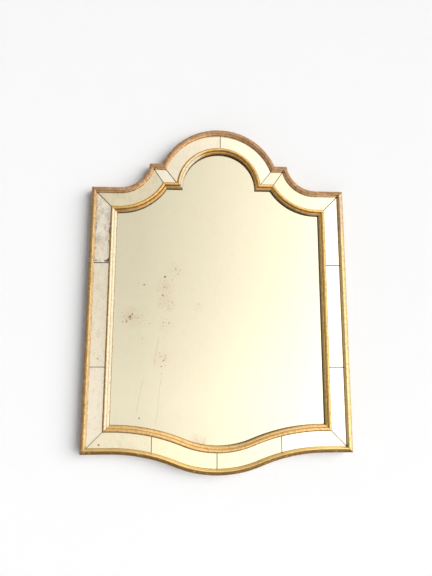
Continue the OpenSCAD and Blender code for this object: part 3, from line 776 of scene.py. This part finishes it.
def screw_recipe():
    """Countersunk screws with slotted heads, one at each point, driven along -Y, each turned its own way."""
    inputs = {"Heads": "Object", "Length": "Float", "Shank radius": "Float", "Head radius": "Float",
              "Slot width": "Float", "Seed": "Int", "Material": "Material"}
    recipe = Recipe("slotted screw", inputs)
    tree, add, given = recipe.tree, recipe.add, recipe.given
    shank, head, length = given("Shank radius"), given("Head radius"), given("Length")
    worn = 0.15 * MM
    sides = 32
    slot_l, slot_d = head * 2.4, head * 0.5

    def lathed(low, low_radius, high, high_radius):
        sockets = {"Vertices": sides, "Radius Top": high_radius, "Radius Bottom": low_radius,
                   "Depth": high - low}
        cone = add("MeshCone", {"fill_type": "NONE"}, sockets)
        up = add("ShaderNodeCombineXYZ", {}, {"Z": low})
        return add("Transform", {}, {"Geometry": cone, "Translation": up})

    neck = shank - head - worn
    rim = neck + (head - shank)
    point = 0 - length
    flat = add("MeshCircle", {"fill_type": "NGON"}, {"Vertices": sides, "Radius": head - worn})
    parts = [flat, lathed(neck, shank, rim, head), lathed(point + shank * 2, shank, neck, shank),
             lathed(point, 0.0, point + shank * 2, shank), lathed(rim, head, rim + worn, head - worn)]
    joined = tree.nodes.new("GeometryNodeJoinGeometry")
    for piece in parts:
        tree.links.new(piece.socket, joined.inputs[0])
    sockets = {"Geometry": Wire(tree, joined.outputs[0]), "Distance": 0.002 * MM}
    body = add("MergeByDistance", {}, sockets)
    size = add("ShaderNodeCombineXYZ", {}, {"X": slot_l, "Y": given("Slot width"), "Z": slot_d})
    slot = add("MeshCube", {}, {"Size": size})
    cut = tree.nodes.new("GeometryNodeMeshBoolean")
    cut.operation = "DIFFERENCE"
    tree.links.new(body.socket, cut.inputs["Mesh 1"])
    tree.links.new(slot.socket, cut.inputs["Mesh 2"])
    place = add("InputPosition")
    # Grime and painted shade at the bottom of the slot, which the steel's finish darkens
    dirt = abs(place.part(1)).ease(given("Slot width") * 0.6, given("Slot width") * 0.55)
    dirt = dirt * place.part(2).ease(-0.1 * MM, -0.3 * MM)
    slot_marked = recipe.stored(Wire(tree, cut.outputs[0]), "dirt", dirt)
    laid = add("Transform", {}, {"Geometry": slot_marked, "Rotation": (-math.pi / 2, 0, 0)})
    sockets = {"Min": 0.0, "Max": math.pi, "Seed": given("Seed")}
    turn = add("FunctionNodeRandomValue", {"data_type": "FLOAT"}, sockets, 1)
    heads = add("ObjectInfo", {}, {"Object": given("Heads")}, "Geometry")
    sockets = {"Points": heads, "Instance": laid, "Rotation": add("ShaderNodeCombineXYZ", {}, {"Y": turn})}
    recipe.end(add("InstanceOnPoints", {}, sockets), given("Material"))
    return recipe


MOULDING = moulding_recipe()
SCREW = screw_recipe()
MOULDING_WOBBLE = 0.5 * MM
MOULDING_SEED = 3.0
MESH_WELD = 0.001 * MM
SOLID_WELD = 0.005 * MM
FLAT_WITHIN = math.radians(0.5)
SOFT_CREASE = 35
METAL_CREASE = 20
BEVEL_FROM = math.radians(80)
BROAD_FACE = 0.00002  # square metres
NO_BEND = math.radians(1)
FACES_FRONT = -0.9


def finish_mesh(thing, crease=SOFT_CREASE):
    """Joins doubles, turns every face outwards and marks the edges that stay sharp."""
    work = bmesh.new()
    work.from_mesh(thing.data)
    bmesh.ops.remove_doubles(work, verts=work.verts, dist=MESH_WELD)
    bmesh.ops.recalc_face_normals(work, faces=work.faces)
    work.to_mesh(thing.data)
    work.free()
    thing.data.shade_smooth()
    thing.data.set_sharp_from_angle(angle=math.radians(crease))
    return thing


def mouldings(prefix, section, at, width, finish_of):
    """The eight mitred lengths of one moulding."""
    profile = section_object(prefix + "_section", section)
    lines = {"right": side_line, "shoulder_right": shoulder_line, "step_right": step_line, "arch": arch_line,
             "bottom": foot_line}
    for part, line in lines.items():
        for flip in (False, True) if part.endswith("right") else (False,):
            side = part.replace("right", "left") if flip else part
            name = prefix + "_" + side
            points = [line(at), line(at + width)]
            outer, inner = (line_object("guide", mirrored(p) if flip else p) for p in points)
            values = {"Outer line": outer, "Inner line": inner, "Section": profile, "Rings": len(points[0]),
                      "Width": width, "Base": CARCASS_T, "Wobble": MOULDING_WOBBLE, "Seed": MOULDING_SEED,
                      "Material": finish_of(side)}
            piece = finish_mesh(MOULDING.make(name + "_gilt", values))
            for guide in (outer, inner):
                bpy.data.objects.remove(guide)
            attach(piece, "frame")
            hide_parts(name)
    bpy.data.objects.remove(profile)


def copy_of(node, name):
    """A node's solid as one welded mesh with flat faces whole."""
    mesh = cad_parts[node].data.copy()
    mesh.name = name
    work = bmesh.new()
    work.from_mesh(mesh)
    bmesh.ops.remove_doubles(work, verts=work.verts, dist=SOLID_WELD)
    bmesh.ops.dissolve_limit(work, angle_limit=FLAT_WITHIN, verts=work.verts, edges=work.edges)
    bmesh.ops.recalc_face_normals(work, faces=work.faces)
    work.to_mesh(mesh)
    work.free()
    return new_object(name, mesh)


def loose_parts(node):
    """The lowest and highest corners of each separate solid of a node."""
    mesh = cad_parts[node].data
    work = bmesh.new()
    work.from_mesh(mesh)
    bmesh.ops.remove_doubles(work, verts=work.verts, dist=SOLID_WELD)
    left = set(work.verts)
    boxes = []
    while left:
        wave = [left.pop()]
        found = []
        while wave:
            vertex = wave.pop()
            found.append(vertex.co.copy())
            for edge in vertex.link_edges:
                other = edge.other_vert(vertex)
                if other in left:
                    left.remove(other)
                    wave.append(other)
        boxes.append(tuple(Vector(pick(co[k] for co in found) for k in range(3)) for pick in (min, max)))
    work.free()
    return sorted(boxes, key=lambda box: tuple(box[0]))


def screws(node, length, shank_d, head_d, slot_w, seed, material):
    """Slotted screws in the places of a node's plain ones."""
    heads = bpy.data.meshes.new(node + "_heads")
    places = [((low.x + high.x) / 2, high.y, (low.z + high.z) / 2) for low, high in loose_parts(node)]
    heads.from_pydata(places, [], [])
    guide = new_object(node + "_heads", heads)
    values = {"Heads": guide, "Length": length, "Shank radius": shank_d / 2, "Head radius": head_d / 2,
              "Slot width": slot_w, "Seed": seed, "Material": material}
    piece = finish_mesh(SCREW.make(node + "_slotted", values))
    bpy.data.objects.remove(guide)
    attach(piece, "frame")
    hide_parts(node)


def keep_flat(piece):
    """Ends the smooth shading where a bend runs into a broad flat face."""
    work = bmesh.new()
    work.from_mesh(piece.data)
    for edge in work.edges:
        if max(face.calc_area() for face in edge.link_faces) > BROAD_FACE:
            edge.smooth = edge.calc_face_angle(0) < NO_BEND
    work.to_mesh(piece.data)
    work.free()


def softened(node, material, reach, body):
    """A metal part with its sharp edges rounded over."""
    piece = copy_of(node, node + "_softened")
    bevel = piece.modifiers.new("soft edges", "BEVEL")
    bevel.width = reach
    bevel.segments = 3
    bevel.limit_method = "ANGLE"
    bevel.angle_limit = BEVEL_FROM
    graph = bpy.context.evaluated_depsgraph_get()
    mesh = bpy.data.meshes.new_from_object(piece.evaluated_get(graph), depsgraph=graph)
    piece.modifiers.clear()
    piece.data = mesh
    mesh.materials.clear()
    mesh.materials.append(material)
    finish_mesh(piece, METAL_CREASE)
    keep_flat(piece)
    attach(piece, body)
    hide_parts(node)


RIM_W = 1.1 * MM


def silvered(node, material, thickness):
    """A glass that shows its silvering at the depth where it seems to lie, with a rim attribute."""
    piece = copy_of(node, node + "_silvered")
    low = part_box(node)[0]
    seen = low.y + thickness / GLASS_INDEX
    for vertex in piece.data.vertices:
        if vertex.co.y < low.y + 0.5 * thickness:
            vertex.co.y = seen
    work = bmesh.new()
    work.from_mesh(piece.data)
    rim = work.verts.layers.float.new("rim")
    for vertex in work.verts:
        vertex[rim] = 1.0
    front = [face for face in work.faces if face.normal.y < FACES_FRONT]
    bmesh.ops.inset_region(work, faces=front, thickness=RIM_W, use_even_offset=True)
    for face in front:
        for vertex in face.verts:
            vertex[rim] = 0.0
    work.to_mesh(piece.data)
    work.free()
    piece.data.materials.clear()
    piece.data.materials.append(material)
    finish_mesh(piece, METAL_CREASE)
    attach(piece, "frame")
    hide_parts(node)


# The stage, in metres
WALL_REACH = 3.0
WALL_TOP = 2.4
WALL_GAP = 0.5 * MM
HOLE_INSET = 2.5 * MM
FLOOR_Z = -1.6
WALL_GLOW = 0.0
FLOOR_GLOW = 0.55
WHITE_PAINT = (0.94, 0.94, 0.94, 1)


def wall_and_floor():
    """A wall with a hole behind the mirror, so that the back can be seen, and a floor."""
    work = bmesh.new()
    loops = []
    low, high = -WALL_REACH, WALL_REACH
    border = [(low, FLOOR_Z), (high, FLOOR_Z), (high, WALL_TOP), (low, WALL_TOP)]
    for points in (outline(HOLE_INSET), border):
        ring = [work.verts.new((x, WALL_GAP, z)) for x, z in points]
        loops += [work.edges.new((ring[i - 1], ring[i])) for i in range(len(ring))]
    bmesh.ops.triangle_fill(work, edges=loops, use_beauty=True)
    for face in work.faces:
        if face.normal.y > 0:
            face.normal_flip()
    mesh = bpy.data.meshes.new("wall")
    work.to_mesh(mesh)
    work.free()
    wall = new_object("wall", mesh)
    floor_mesh = bpy.data.meshes.new("floor")
    corners = [(x, y, FLOOR_Z) for x, y in ((low, low), (high, low), (high, 0), (low, 0))]
    floor_mesh.from_pydata(corners, [], [(0, 1, 2, 3)])
    floor = new_object("floor", floor_mesh)
    for thing, glow in ((wall, WALL_GLOW), (floor, FLOOR_GLOW)):
        thing.data.materials.append(backdrop_paint(thing.name + "_paint", glow))
    floor.visible_glossy = False


def backdrop_paint(name, glow):
    """Near-white paint that is only there on its front side, and glows a little for the camera alone."""
    material = bpy.data.materials.new(name)
    tree = new_tree(material)
    paint = add_node(tree, "BsdfDiffuse", {}, {"Color": WHITE_PAINT})
    shine = add_node(tree, "Emission", {}, {"Strength": glow})
    camera = add_node(tree, "LightPath", output="Is Camera Ray")
    glowing = add_node(tree, "AddShader", {}, {0: paint, 1: shine})
    seen = add_node(tree, "MixShader", {}, {0: camera, 1: paint, 2: glowing})
    clear = add_node(tree, "BsdfTransparent")
    behind = add_node(tree, "NewGeometry", output="Backfacing")
    sides = add_node(tree, "MixShader", {}, {0: behind, 1: seen, 2: clear})
    add_node(tree, "OutputMaterial", {}, {"Surface": sides})
    return material


FILL_LEVEL = 0.22
SUN_SPREAD = 54
SUNS = {"sun": (50, 8, 3.6), "sun_behind": (140, 30, 2.4)}  # degrees to the right, degrees up, strength


def lights():
    """A broad soft light from the right of the glass, and one for the back, that polished parts don't see."""
    for name, (turn, height, level) in SUNS.items():
        data = bpy.data.lights.new(name, "SUN")
        data.energy = level
        data.angle = math.radians(SUN_SPREAD)
        lamp = new_object(name, data)
        lamp.visible_glossy = False
        turn, height = math.radians(turn), math.radians(height)
        flat = math.cos(height)
        towards = Vector((math.sin(turn) * flat, -math.cos(turn) * flat, math.sin(height)))
        lamp.rotation_euler = towards.to_track_quat("Z", "Y").to_euler()


# How bright the reflected room is from left (-1) to right (1), and from below (-1) to above (1)
ROOM_BY_SIDE = ((-1.0, 0.5), (-0.55, 0.36), (-0.36, 0.5), (-0.22, 0.79), (-0.13, 0.82), (0.02, 1.02),
                (0.13, 1.2), (0.22, 1.36), (0.32, 1.7), (0.45, 1.65), (0.6, 1.25), (1.0, 1.05))
ROOM_BY_HEIGHT = ((-1.0, 0.3), (-0.6, 0.7), (-0.42, 0.9), (-0.26, 1.18), (-0.12, 1.21), (0.0, 1.11),
                  (0.14, 1.02), (0.44, 0.94), (0.75, 0.92), (1.0, 0.85))


def level_by(value, points):
    """A level read from a table of (value from -1 to 1, level)."""
    top = max(level for place, level in points)
    ramp = add_node(value.tree, "ValToRGB", {}, {0: value * 0.5 + 0.5})
    stops = ramp.socket.node.color_ramp.elements
    while len(stops) < len(points):
        stops.new(0.5)
    for stop, (place, level) in zip(stops, points):
        stop.position = (place + 1) / 2
        stop.color = (level / top, level / top, level / top, 1.0)
    return ramp * top


def studio():
    """White to the camera, a plain fill to dull surfaces, a room with one bright side to polished ones."""
    world = bpy.data.worlds.new("studio")
    bpy.context.scene.world = world
    tree = new_tree(world)
    world.cycles.sampling_method = "NONE"
    way = add_node(tree, "TexCoord", output="Generated")
    room = level_by(way.part(0), ROOM_BY_SIDE) * level_by(way.part(2), ROOM_BY_HEIGHT)
    glossy, passed, seen = (add_node(tree, "LightPath", output=ray)
                            for ray in ("Is Glossy Ray", "Is Transmission Ray", "Is Camera Ray"))
    polished = glossy.most(passed)
    level = mix_number(seen, mix_number(polished, FILL_LEVEL, room), 1.0)
    light = add_node(tree, "Background", {}, {"Color": (1, 1, 1, 1), "Strength": level})
    add_node(tree, "OutputWorld", {}, {"Surface": light})


def dress(nodes, material):
    """Gives CAD nodes a finish."""
    for node in nodes:
        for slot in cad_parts[node].material_slots:
            slot.material = material


set_camera()
studio()
lights()
wall_and_floor()

# The crests' heights over the carcass, and the gildings, one for each side. Besides wear, the sides differ
# by painted light and shade: yellower and paler leaf where faces meet the light, as on the right, the
# bottom's upper half and the sight edges on the left, and a wider brown outer side as painted shade on
# the left and bottom pieces
OUTER_CREST = 12 * MM
INNER_CREST = 11 * MM
OUTER_WORN = gilt("outer_gilding_rubbed", 4.0, LEAF_WARM, 0.5, OUTER_CREST, 9.8 * MM, LEAF_PINK,
                  brown_to=7.8 * MM, brown=EDGE_RED)
OUTER_GILDING = {
    "left": gilt("outer_gilding_left", 1.0, LEAF_WARM, 0.3, OUTER_CREST, 10 * MM, brown_to=5 * MM),
    "right": gilt("outer_gilding_right", 2.0, LEAF_YELLOW, 0.15, OUTER_CREST, 11 * MM, worn_above=554 * MM),
    "bottom": gilt("outer_gilding_bottom", 3.0, LEAF_AMBER, 0.1, OUTER_CREST, 9 * MM, (1.0, 0.74, 0.32),
                   brown_to=8.6 * MM, brown=EDGE_AMBER),
}
INNER_PLAIN = gilt("inner_gilding", 7.0, LEAF_AMBER, 0.12, INNER_CREST, 14 * MM, brown_to=0)
INNER_GILDING = {
    "left": gilt("inner_gilding_left", 9.0, LEAF_WARM, 0.15, INNER_CREST, 6 * MM, LEAF_FADED_AND_LIT, pale_dull=0.8,
                 brown_to=3.4 * MM),
    "bottom": gilt("inner_gilding_bottom", 8.0, (0.90, 0.57, 0.24), 0.2, INNER_CREST, 8.5 * MM,
                   (0.93, 0.65, 0.29), pale_dull=0.1, brown_to=3.2 * MM),
    "arch": gilt("inner_gilding_arch", 10.0, LEAF_AMBER, 0.12, INNER_CREST, 7 * MM, LEAF_FADED_AND_LIT,
                 pale_dull=0.2, brown_to=0, pale_to_x=-45 * MM),
    "right": gilt("inner_gilding_right", 6.0, (0.92, 0.64, 0.22), 0.15, INNER_CREST, 14 * MM),
}
mouldings("outer", outer_section(), 0, OUTER_W, lambda side: OUTER_GILDING.get(side, OUTER_WORN))
mouldings("inner", inner_section(), INNER_AT, INNER_W, lambda side: INNER_GILDING.get(side, INNER_PLAIN))

MAIN_TONE = (0.865, 0.785, 0.555)
BORDER_TONE = (0.97, 0.88, 0.69)
CREAM_TONE = (0.93, 0.84, 0.56)

# Marks of the plate in mm: x, z, reach and strength, but scratches as scratch_mask has them
PLATE_SPOTS = (
    (-137, 432, 8, 1.0), (-139, 421, 6, 0.72), (-139, 405, 7, 0.8), (-142, 384, 8, 0.9),
    (-129, 383, 6, 0.75), (-128, 369, 7, 0.75), (-129, 348, 6, 0.72), (-139, 315, 8, 0.75),
    (-125, 314, 7, 0.75), (-136, 279, 6, 0.72), (-110, 451, 8, 0.75), (-113, 433, 7, 0.73),
    (-118, 424, 7, 0.75), (-190, 411, 7, 0.9), (-205, 414, 5, 0.72), (-223, 329, 10, 1.0),
    (-217, 335, 8, 0.9), (-222, 323, 8, 0.85), (-231, 318, 8, 0.85), (-241, 316, 7, 0.75),
    (-172, 344, 8, 0.74), (-179, 333, 7, 0.72), (-173, 312, 8, 0.74), (-191, 274, 7, 0.74),
    (-146, 230, 7, 0.75), (-136, 221, 8, 0.8), (-142, 206, 7, 0.8), (-141, 189, 5, 0.8),
    (-193, 82, 6, 0.9))
PLATE_STAINS = ((-137, 405, 34, 0.8), (-133, 365, 34, 0.8), (-113, 450, 32, 0.6), (-220, 328, 40, 1.0),
                (-200, 330, 26, 0.5), (-52, 355, 20, 0.5), (-132, 310, 34, 0.4), (-140, 225, 36, 0.5))
PLATE_SMUDGES = ((-56, 31, 20, 0.7), (-42, 24, 20, 1.0))
PLATE_SCRATCHES = ((-150, 285, -163, 190, 3.0, 0.3), (-148, 280, -163, 200, 1.4, 0.4),
                   (-184, 185, -205, 76, 1.4, 0.5), (-140, 192, -154, 56, 1.5, 0.45))

# Foxed spots of the border panels, and the sides from which foxing creeps into one
PANEL_SIDES = {"left_high": (-316, -281)}
PANEL_SPOTS = {
    "left_high": ((-292, 477, 6, 0.7), (-290, 471, 7, 1.0), (-287, 471, 6, 1.4), (-282, 473, 8, 1.5),
                  (-279, 479, 6, 1.3), (-280, 484, 6, 0.8), (-313, 472, 7, 0.9)),
    "left_mid": ((-298, 225, 9, 0.75), (-291, 220, 7, 0.72), (-294, 231, 6, 0.72)),
    "bottom_1": ((-287, 21, 7, 0.95),),
}

# Each border panel that isn't plain: milk, streaks, edge, tilt, and how creamy it is
PANEL_LOOKS = {
    "left_high": (0.12, 2.0, 0.9, 0.004, 0.0), "left_mid": (0.14, 0.7, 0.9, 0.006, 0.35),
    "left_low": (0.15, 0.8, 0.1, 0.008, 0.1), "bottom_1": (0.08, 0.5, 0.1, 0.006, 0.8),
    "bottom_2": (0.05, 0.25, 0.7, 0.03, 1.0), "bottom_3": (0.08, 0.25, 0.7, 0.0, 1.0),
    "bottom_4": (0.08, 0.25, 0.9, 0.0, 0.3), "shoulder_left": (0.02, 0.6, 0.8, -0.015, 0.8),
    "step_left": (0.25, 0.3, 0.8, 0.04, 0.3), "arch_left": (0.05, 0.5, 0.8, 0.022, 0.3),
    "arch_right": (0.05, 0.25, 0.3, 0.04, 0.2), "shoulder_right": (0.08, 0.25, 0.6, 0.0, 0.9),
    "step_right": (0.08, 0.25, 0.3, -0.02, 0.4),
}
PLAIN_LOOK = (0.08, 0.25, 1.0, 0.0, 0.0)
plate = old_mirror("old_plate", MAIN_TONE, 5.0, milk=0.03, streaks=0.12, edge=0.2, tilt=0.0,
                   spots=PLATE_SPOTS, stains=PLATE_STAINS, scratches=PLATE_SCRATCHES, smudges=PLATE_SMUDGES,
                   hue_size=80 * MM)
silvered("mirror_plate", plate, PLATE_T)
for index, node in enumerate(n for n in sorted(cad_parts) if n.startswith("panel_")):
    place = node.removeprefix("panel_")
    milk, streaks, edge, tilt, cream = PANEL_LOOKS.get(place, PLAIN_LOOK)
    tone = tuple(Vector(BORDER_TONE).lerp(CREAM_TONE, cream))
    glass = old_mirror("glass_" + node, tone, 20.0 + index, milk, streaks, edge, tilt,
                       PANEL_SPOTS.get(place, ()), sides=PANEL_SIDES.get(place, NO_SIDES))
    silvered(node, glass, PANEL_T)

dress(["left_stile", "right_stile"], board_wood("pine_upright", 2, 11.0))
dress(["bottom_rail", "left_head_rail", "right_head_rail", "crest_rail"], board_wood("pine_level", 0, 12.0))
dress(["lap_dowels"], plain_wood("beech", 1, (0.5, 0.33, 0.19), (0.34, 0.2, 0.1), 13.0))
dress(["glazing_blocks"], plain_wood("pine_blocks", 2, (0.5, 0.32, 0.17), (0.32, 0.18, 0.08), 14.0))
dress(["backboard"], plain_wood("plywood", 2, (0.50, 0.34, 0.19), (0.36, 0.21, 0.10), 15.0))

SCREW_STEEL = old_steel("screw_steel", (0.55, 0.54, 0.50), 16.0)
screws("backboard_screws", 12 * MM, 3 * MM, 5.8 * MM, 0.9 * MM, 1, SCREW_STEEL)
screws("hanger_screws", 9 * MM, 3.5 * MM, 6.5 * MM, 1.0 * MM, 2, SCREW_STEEL)
HANGER_STEEL = old_steel("hanger_steel", (0.62, 0.61, 0.57), 17.0)
for side in ("left", "right"):
    softened("hanger_strap_" + side, HANGER_STEEL, 0.3 * MM, "frame")
    softened("hanger_ring_" + side, HANGER_STEEL, 0.0, "ring_" + side)

bpy.context.scene.view_settings.view_transform = "Standard"
